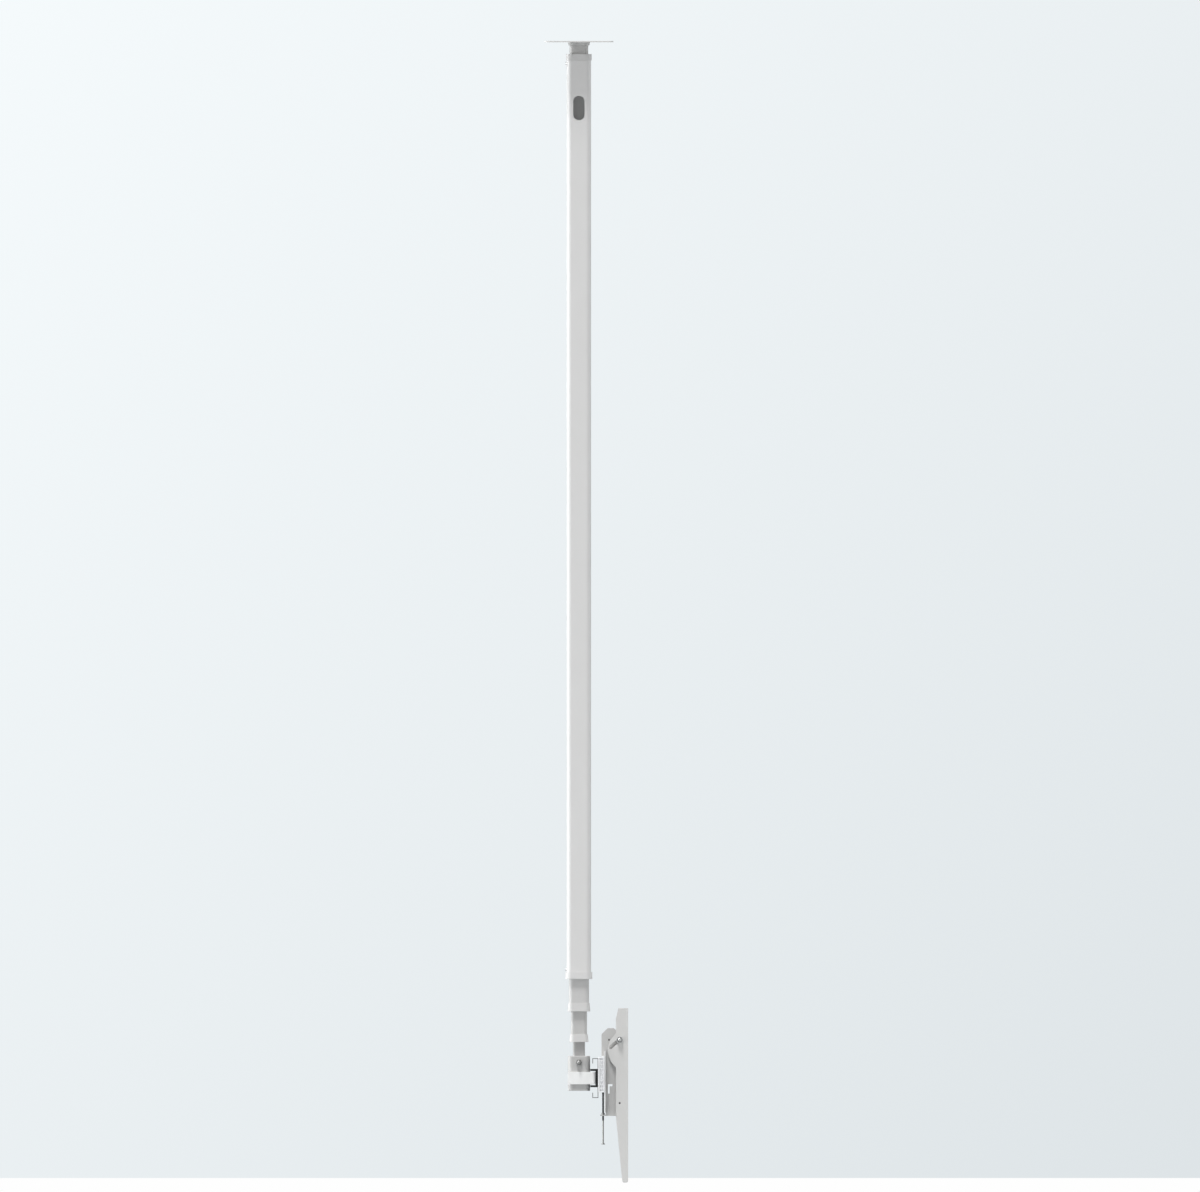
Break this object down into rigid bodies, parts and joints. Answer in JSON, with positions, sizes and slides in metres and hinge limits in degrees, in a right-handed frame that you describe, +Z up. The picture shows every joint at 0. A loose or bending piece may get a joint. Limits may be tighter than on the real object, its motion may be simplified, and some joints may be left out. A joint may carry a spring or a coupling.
{
  "type": "tv ceiling mount",
  "caption": "White telescopic ceiling pole of nested square tubes with a swivel head, a cross rail and tilting arms for a flat screen.",
  "frame": {"origin": "centre of the ceiling plate's top face", "axes": "+Z up towards the ceiling, the screen looks along -Y, X runs along the cross rail"},
  "size_m": [0.465, 0.206, 2.8082],
  "materials": {
    "white_paint": "satin",
    "white_plastic": "matte",
    "grey_plastic": "matte",
    "black_paint": "matte",
    "zinc_steel": "satin"
  },
  "bodies": {
    "ceiling_section": {"ceiling_plate": "white_paint", "ceiling_stub": "white_paint", "stub_spacer": "grey_plastic", "top_collar": "white_plastic", "outer_tube": "white_paint", "outer_collar": "white_plastic", "stub_screws": "zinc_steel", "outer_lock_screw": "zinc_steel"},
    "second_section": {"second_tube": "white_paint", "second_collar": "white_plastic", "second_guide": "grey_plastic", "second_lock_screw": "zinc_steel"},
    "third_section": {"third_tube": "white_paint", "third_collar": "white_plastic", "third_guide": "grey_plastic", "third_lock_screw": "zinc_steel"},
    "fourth_section": {"fourth_tube": "white_paint", "fourth_guide": "grey_plastic", "swivel_bush": "grey_plastic", "retaining_ring": "white_paint"},
    "head": {"swivel_sleeve": "white_paint", "swivel_lock_bolt": "zinc_steel", "swivel_lock_nut": "zinc_steel", "swivel_bracket": "white_paint", "yoke": "black_paint", "yoke_bolts": "zinc_steel", "yoke_nuts": "zinc_steel", "rail_channel": "zinc_steel", "rail_box": "white_paint", "rail_plate": "white_paint", "left_end_cap": "white_plastic", "right_end_cap": "white_plastic"},
    "left_hook": {"left_tilt_bracket": "white_paint", "left_hook_rivet": "zinc_steel", "left_tilt_bolt": "zinc_steel", "left_tilt_washers": "zinc_steel", "left_tilt_nut": "zinc_steel", "left_lock_nut": "zinc_steel"},
    "left_arm_body": {"left_arm": "white_paint", "left_guide_pin": "zinc_steel"},
    "left_lock": {"left_lock_screw": "zinc_steel"},
    "right_hook": {"right_tilt_bracket": "white_paint", "right_hook_rivet": "zinc_steel", "right_tilt_bolt": "zinc_steel", "right_tilt_washers": "zinc_steel", "right_tilt_nut": "zinc_steel", "right_lock_nut": "zinc_steel"},
    "right_arm_body": {"right_arm": "white_paint", "right_guide_pin": "zinc_steel"},
    "right_lock": {"right_lock_screw": "zinc_steel"}
  },
  "joints": [
    {"name": "second_slide", "type": "slide", "parent": "ceiling_section", "child": "second_section", "axis": [0, 0, -1], "range_m": [0, 1]},
    {"name": "third_slide", "type": "slide", "parent": "second_section", "child": "third_section", "axis": [0, 0, -1], "range_m": [0, 1]},
    {"name": "fourth_slide", "type": "slide", "parent": "third_section", "child": "fourth_section", "axis": [0, 0, -1], "range_m": [0, 1]},
    {"name": "swivel", "type": "hinge", "parent": "fourth_section", "child": "head", "pos_m": [0, 0, -2.5395], "axis": [0, 0, 1], "continuous": true},
    {"name": "left_slide", "type": "slide", "parent": "head", "child": "left_hook", "axis": [1, 0, 0], "range_m": [0, 0.1]},
    {"name": "left_tilt", "type": "hinge", "parent": "left_hook", "child": "left_arm_body", "pos_m": [-0.2, -0.194, -2.59375], "axis": [1, 0, 0], "range_deg": [0, 10]},
    {"name": "left_lock_travel", "type": "slide", "parent": "left_hook", "child": "left_lock", "axis": [0, 0, -1], "range_m": [0, 0.012]},
    {"name": "right_slide", "type": "slide", "parent": "head", "child": "right_hook", "axis": [-1, 0, 0], "range_m": [0, 0.1]},
    {"name": "right_tilt", "type": "hinge", "parent": "right_hook", "child": "right_arm_body", "pos_m": [0.2, -0.194, -2.59375], "axis": [1, 0, 0], "range_deg": [0, 10]},
    {"name": "right_lock_travel", "type": "slide", "parent": "right_hook", "child": "right_lock", "axis": [0, 0, -1], "range_m": [0, 0.012]}
  ]
}
